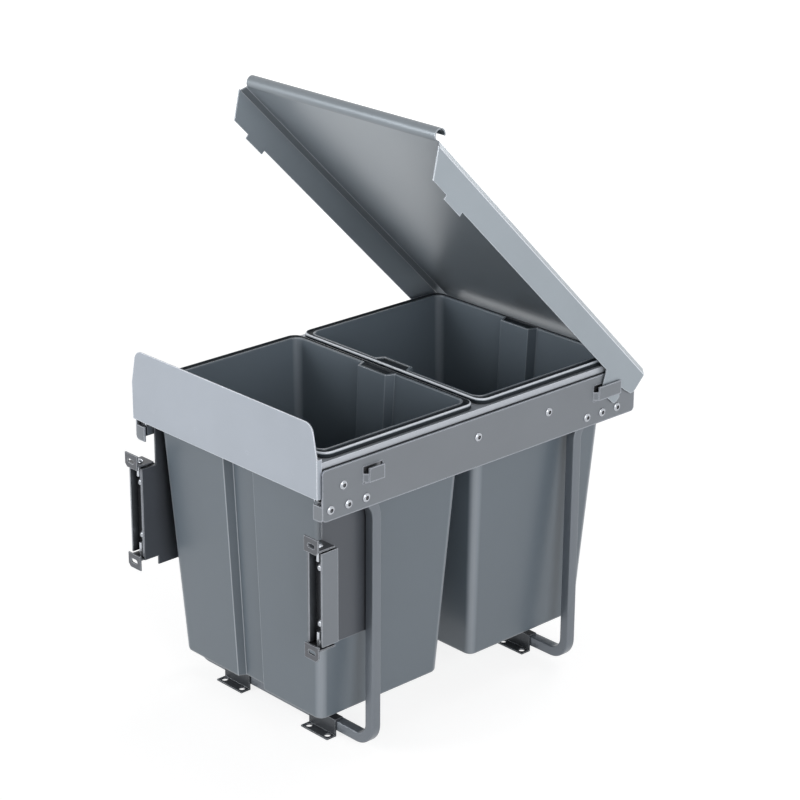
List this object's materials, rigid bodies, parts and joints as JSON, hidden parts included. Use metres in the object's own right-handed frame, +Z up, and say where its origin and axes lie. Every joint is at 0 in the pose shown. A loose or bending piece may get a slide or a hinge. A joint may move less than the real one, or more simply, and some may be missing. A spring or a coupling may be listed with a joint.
{
  "type": "pull out bin frame",
  "caption": "Pull-out waste bin frame for a narrow cabinet: carriage on ball slides with lift-out bins, hinged lid, bent tube legs and slotted door brackets.",
  "frame": {"origin": "on the floor, under the middle of the whole object's box with the lid open as in the picture", "axes": "+Z up, -Y toward the front plate and the door, +X to the right of a person who stands in front of the plate and looks at it"},
  "size_m": [0.264, 0.409, 0.5551],
  "materials": {
    "panel_paint": "satin dark grey metallic powder coat",
    "plate_paint": "satin light grey powder coat",
    "lid_paint": "satin silver grey powder coat",
    "rail_paint": "satin light grey powder coat",
    "leg_paint": "satin grey powder coat",
    "clip_paint": "satin dark grey powder coat",
    "hanger_paint": "satin dark grey powder coat",
    "channel_paint": "satin grey powder coat",
    "bracket_paint": "satin dark grey powder coat",
    "slide_steel": "bright zinc plated, rolled",
    "cage_steel": "stamped strip, oiled",
    "ball_steel": "polished hardened steel",
    "fastener_zinc": "bright zinc plated",
    "bin_plastic": "moulded blue-grey plastic, fine texture"
  },
  "bodies": {
    "frame": {"side_panel_left": "panel_paint", "side_panel_right": "panel_paint", "leg_rivets": "fastener_zinc", "slide_rivets": "fastener_zinc", "leg_front": "leg_paint", "leg_rear": "leg_paint", "floor_clip_front_left": "clip_paint", "floor_clip_front_right": "clip_paint", "floor_clip_rear_left": "clip_paint", "floor_clip_rear_right": "clip_paint", "slide_fixed_left": "slide_steel", "slide_fixed_right": "slide_steel", "hinge_studs": "fastener_zinc"},
    "slide_middles": {"slide_middle_left": "slide_steel", "slide_middle_right": "slide_steel"},
    "outer_ball_rows": {"outer_ball_cages": "cage_steel", "outer_balls": "ball_steel"},
    "inner_ball_rows": {"inner_ball_cages": "cage_steel", "inner_balls": "ball_steel"},
    "carriage": {"slide_inner_left": "slide_steel", "slide_inner_right": "slide_steel", "carriage_rail_left": "rail_paint", "carriage_rail_right": "rail_paint", "crossbar_front": "rail_paint", "crossbar_middle": "rail_paint", "crossbar_rear": "rail_paint", "carriage_rivets": "fastener_zinc", "front_plate": "plate_paint", "plate_screws": "fastener_zinc", "hanger_left": "hanger_paint", "hanger_right": "hanger_paint", "channel_left": "channel_paint", "channel_right": "channel_paint", "bracket_bolts": "fastener_zinc", "bracket_nuts": "fastener_zinc"},
    "door_bracket_l": {"door_bracket_left": "bracket_paint", "height_screws_left": "fastener_zinc"},
    "door_bracket_r": {"door_bracket_right": "bracket_paint", "height_screws_right": "fastener_zinc"},
    "bin_front": {"front_bin": "bin_plastic"},
    "bin_rear": {"rear_bin": "bin_plastic"},
    "lid_body": {"lid": "lid_paint"}
  },
  "joints": [
    {"name": "carriage_slide", "type": "slide", "parent": "frame", "child": "carriage", "axis": [0, -1, 0], "range_m": [0, 0.35]},
    {"name": "slide_middle_travel", "type": "slide", "parent": "frame", "child": "slide_middles", "axis": [0, -1, 0], "range_m": [0, 0.175]},
    {"name": "outer_ball_travel", "type": "slide", "parent": "frame", "child": "outer_ball_rows", "axis": [0, -1, 0], "range_m": [0, 0.0875]},
    {"name": "inner_ball_travel", "type": "slide", "parent": "frame", "child": "inner_ball_rows", "axis": [0, -1, 0], "range_m": [0, 0.2625]},
    {"name": "lid_hinge", "type": "hinge", "parent": "frame", "child": "lid_body", "pos_m": [0, 0.1602, 0.2725], "axis": [-1, 0, 0], "range_deg": [-45, 20]},
    {"name": "front_bin_lift", "type": "slide", "parent": "carriage", "child": "bin_front", "axis": [0, 0, 1], "range_m": [0, 0.18]},
    {"name": "rear_bin_lift", "type": "slide", "parent": "carriage", "child": "bin_rear", "axis": [0, 0, 1], "range_m": [0, 0.005]},
    {"name": "door_height_left", "type": "slide", "parent": "carriage", "child": "door_bracket_l", "axis": [0, 0, 1], "range_m": [-0.0015, 0.0015]},
    {"name": "door_height_right", "type": "slide", "parent": "carriage", "child": "door_bracket_r", "axis": [0, 0, 1], "range_m": [-0.0015, 0.0015]}
  ],
  "couplings": [
    {"joint": "slide_middle_travel", "follows": "carriage_slide", "ratio": 0.5},
    {"joint": "outer_ball_travel", "follows": "carriage_slide", "ratio": 0.25},
    {"joint": "inner_ball_travel", "follows": "carriage_slide", "ratio": 0.75}
  ]
}
